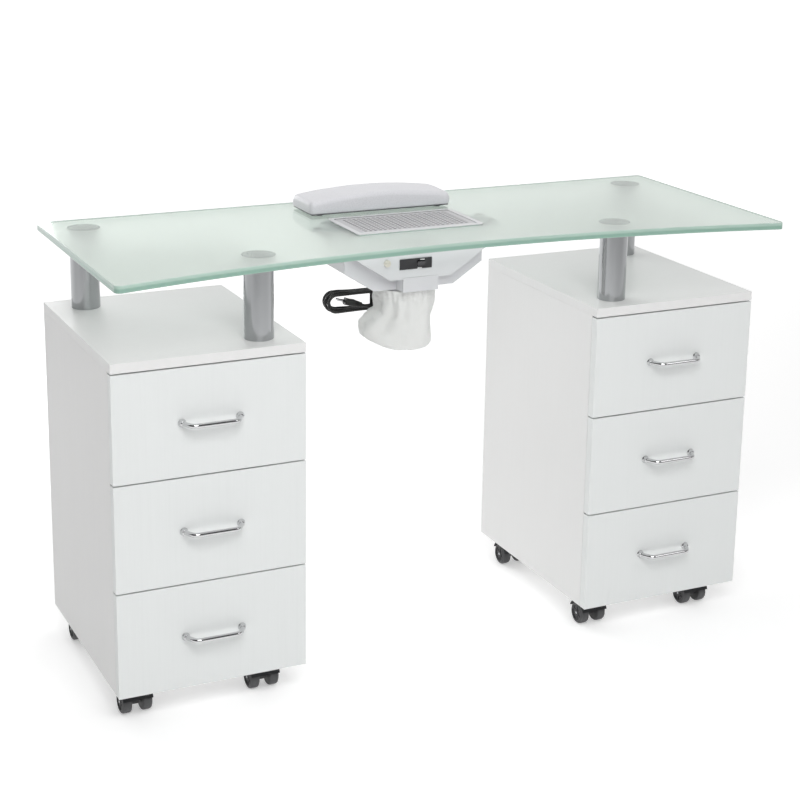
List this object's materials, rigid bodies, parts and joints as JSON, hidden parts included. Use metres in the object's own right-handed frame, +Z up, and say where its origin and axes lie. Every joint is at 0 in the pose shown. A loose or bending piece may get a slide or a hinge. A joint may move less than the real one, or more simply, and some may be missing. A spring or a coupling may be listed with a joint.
{
  "type": "manicure table",
  "caption": "Manicure table: curved frosted glass top on posts over two three-drawer cabinets on casters, with a dust extractor, dust bag and wrist cushion.",
  "frame": {"origin": "centre of the table's footprint, on the floor under the wheels", "axes": "+X runs along the table, the drawers open towards -Y, +Z is up"},
  "size_m": [1.2, 0.47, 0.787],
  "materials": {
    "frosted_glass": "acid-etched upper face, polished green edge",
    "satin_aluminium": "brushed round the post",
    "melamine": "white melamine-faced board with a faint upright grain",
    "front_melamine": "white melamine-faced board, slightly cooler, faint upright grain",
    "zinc_steel": "bright zinc plate",
    "white_plastic": "white moulded plastic, soft sheen",
    "grey_plastic": "grey moulded grille",
    "black_plastic": "black moulded plastic",
    "beige_plastic": "beige moulded cap",
    "motor_steel": "grey motor can",
    "fan_plastic": "dark grey moulded fan",
    "bag_fabric": "off-white filter cloth",
    "cushion_leather": "white leatherette with a fine grain",
    "cord_rubber": "black flexible lead",
    "chrome": "polished",
    "caster_plastic": "black moulded nylon",
    "wheel_plastic": "dark grey moulded nylon"
  },
  "bodies": {
    "table": {"glass_top": "frosted_glass", "support_posts": "satin_aluminium", "post_discs": "satin_aluminium", "left_cabinet": "melamine", "right_cabinet": "melamine", "runner_rails": "zinc_steel", "caster_plates": "zinc_steel", "assembly_screws": "zinc_steel", "grille_frame": "white_plastic", "extractor_housing": "white_plastic", "control_panel": "white_plastic", "switch_plate": "black_plastic", "outlet_duct": "white_plastic", "fan_motor": "motor_steel", "clamp_brackets": "zinc_steel", "dust_bag": "bag_fabric", "cord_gland": "black_plastic", "power_cord": "cord_rubber", "cord_hank": "cord_rubber", "cord_tie": "black_plastic", "power_plug": "black_plastic"},
    "grille": {"grille": "grey_plastic"},
    "rocker": {"rocker_switch": "black_plastic"},
    "fuse_cap": {"fuse_cap": "beige_plastic"},
    "impeller": {"fan_impeller": "fan_plastic"},
    "cushion": {"wrist_cushion": "cushion_leather"},
    "left_top_drawer": {"left_top_front": "front_melamine", "left_top_box": "melamine", "left_top_handle": "chrome"},
    "left_middle_drawer": {"left_middle_front": "front_melamine", "left_middle_box": "melamine", "left_middle_handle": "chrome"},
    "left_bottom_drawer": {"left_bottom_front": "front_melamine", "left_bottom_box": "melamine", "left_bottom_handle": "chrome"},
    "right_top_drawer": {"right_top_front": "front_melamine", "right_top_box": "melamine", "right_top_handle": "chrome"},
    "right_middle_drawer": {"right_middle_front": "front_melamine", "right_middle_box": "melamine", "right_middle_handle": "chrome"},
    "right_bottom_drawer": {"right_bottom_front": "front_melamine", "right_bottom_box": "melamine", "right_bottom_handle": "chrome"},
    "left_front_outer_caster": {"left_front_outer_fork": "caster_plastic"},
    "left_front_outer_wheel_pair": {"left_front_outer_wheels": "wheel_plastic"},
    "left_front_inner_caster": {"left_front_inner_fork": "caster_plastic"},
    "left_front_inner_wheel_pair": {"left_front_inner_wheels": "wheel_plastic"},
    "left_back_outer_caster": {"left_back_outer_fork": "caster_plastic"},
    "left_back_outer_wheel_pair": {"left_back_outer_wheels": "wheel_plastic"},
    "left_back_inner_caster": {"left_back_inner_fork": "caster_plastic"},
    "left_back_inner_wheel_pair": {"left_back_inner_wheels": "wheel_plastic"},
    "right_front_outer_caster": {"right_front_outer_fork": "caster_plastic"},
    "right_front_outer_wheel_pair": {"right_front_outer_wheels": "wheel_plastic"},
    "right_front_inner_caster": {"right_front_inner_fork": "caster_plastic"},
    "right_front_inner_wheel_pair": {"right_front_inner_wheels": "wheel_plastic"},
    "right_back_outer_caster": {"right_back_outer_fork": "caster_plastic"},
    "right_back_outer_wheel_pair": {"right_back_outer_wheels": "wheel_plastic"},
    "right_back_inner_caster": {"right_back_inner_fork": "caster_plastic"},
    "right_back_inner_wheel_pair": {"right_back_inner_wheels": "wheel_plastic"}
  },
  "joints": [
    {"name": "grille_lift", "type": "slide", "parent": "table", "child": "grille", "axis": [0, 0, 1], "range_m": [0, 0.06]},
    {"name": "cushion_lift", "type": "slide", "parent": "table", "child": "cushion", "axis": [0, 0, 1], "range_m": [0, 0.12]},
    {"name": "rocker_tilt", "type": "hinge", "parent": "table", "child": "rocker", "pos_m": [-0.016, -0.048, 0.6925], "axis": [-1, 0, 0], "range_deg": [0, 12]},
    {"name": "fuse_cap_turn", "type": "hinge", "parent": "table", "child": "fuse_cap", "pos_m": [-0.079, -0.055, 0.697], "axis": [0, -1, 0], "range_deg": [0, 90]},
    {"name": "fan_spin", "type": "hinge", "parent": "table", "child": "impeller", "pos_m": [-0.015, 0.012, 0.655], "axis": [0, 0, 1], "continuous": true},
    {"name": "left_top_drawer_slide", "type": "slide", "parent": "table", "child": "left_top_drawer", "axis": [0, -1, 0], "range_m": [0, 0.25]},
    {"name": "left_middle_drawer_slide", "type": "slide", "parent": "table", "child": "left_middle_drawer", "axis": [0, -1, 0], "range_m": [0, 0.25]},
    {"name": "left_bottom_drawer_slide", "type": "slide", "parent": "table", "child": "left_bottom_drawer", "axis": [0, -1, 0], "range_m": [0, 0.25]},
    {"name": "right_top_drawer_slide", "type": "slide", "parent": "table", "child": "right_top_drawer", "axis": [0, -1, 0], "range_m": [0, 0.25]},
    {"name": "right_middle_drawer_slide", "type": "slide", "parent": "table", "child": "right_middle_drawer", "axis": [0, -1, 0], "range_m": [0, 0.25]},
    {"name": "right_bottom_drawer_slide", "type": "slide", "parent": "table", "child": "right_bottom_drawer", "axis": [0, -1, 0], "range_m": [0, 0.25]},
    {"name": "left_front_outer_swivel", "type": "hinge", "parent": "table", "child": "left_front_outer_caster", "pos_m": [-0.552, -0.125, 0.045], "axis": [0, 0, 1], "continuous": true},
    {"name": "left_front_outer_roll", "type": "hinge", "parent": "left_front_outer_caster", "child": "left_front_outer_wheel_pair", "pos_m": [-0.552, -0.114, 0.02], "axis": [1, 0, 0], "continuous": true},
    {"name": "left_front_inner_swivel", "type": "hinge", "parent": "table", "child": "left_front_inner_caster", "pos_m": [-0.331, -0.125, 0.045], "axis": [0, 0, 1], "continuous": true},
    {"name": "left_front_inner_roll", "type": "hinge", "parent": "left_front_inner_caster", "child": "left_front_inner_wheel_pair", "pos_m": [-0.331, -0.114, 0.02], "axis": [1, 0, 0], "continuous": true},
    {"name": "left_back_outer_swivel", "type": "hinge", "parent": "table", "child": "left_back_outer_caster", "pos_m": [-0.552, 0.195, 0.045], "axis": [0, 0, 1], "continuous": true},
    {"name": "left_back_outer_roll", "type": "hinge", "parent": "left_back_outer_caster", "child": "left_back_outer_wheel_pair", "pos_m": [-0.552, 0.184, 0.02], "axis": [1, 0, 0], "continuous": true},
    {"name": "left_back_inner_swivel", "type": "hinge", "parent": "table", "child": "left_back_inner_caster", "pos_m": [-0.331, 0.195, 0.045], "axis": [0, 0, 1], "continuous": true},
    {"name": "left_back_inner_roll", "type": "hinge", "parent": "left_back_inner_caster", "child": "left_back_inner_wheel_pair", "pos_m": [-0.331, 0.184, 0.02], "axis": [1, 0, 0], "continuous": true},
    {"name": "right_front_outer_swivel", "type": "hinge", "parent": "table", "child": "right_front_outer_caster", "pos_m": [0.531, -0.125, 0.045], "axis": [0, 0, 1], "continuous": true},
    {"name": "right_front_outer_roll", "type": "hinge", "parent": "right_front_outer_caster", "child": "right_front_outer_wheel_pair", "pos_m": [0.531, -0.114, 0.02], "axis": [1, 0, 0], "continuous": true},
    {"name": "right_front_inner_swivel", "type": "hinge", "parent": "table", "child": "right_front_inner_caster", "pos_m": [0.31, -0.125, 0.045], "axis": [0, 0, 1], "continuous": true},
    {"name": "right_front_inner_roll", "type": "hinge", "parent": "right_front_inner_caster", "child": "right_front_inner_wheel_pair", "pos_m": [0.31, -0.114, 0.02], "axis": [1, 0, 0], "continuous": true},
    {"name": "right_back_outer_swivel", "type": "hinge", "parent": "table", "child": "right_back_outer_caster", "pos_m": [0.531, 0.195, 0.045], "axis": [0, 0, 1], "continuous": true},
    {"name": "right_back_outer_roll", "type": "hinge", "parent": "right_back_outer_caster", "child": "right_back_outer_wheel_pair", "pos_m": [0.531, 0.184, 0.02], "axis": [1, 0, 0], "continuous": true},
    {"name": "right_back_inner_swivel", "type": "hinge", "parent": "table", "child": "right_back_inner_caster", "pos_m": [0.31, 0.195, 0.045], "axis": [0, 0, 1], "continuous": true},
    {"name": "right_back_inner_roll", "type": "hinge", "parent": "right_back_inner_caster", "child": "right_back_inner_wheel_pair", "pos_m": [0.31, 0.184, 0.02], "axis": [1, 0, 0], "continuous": true}
  ]
}
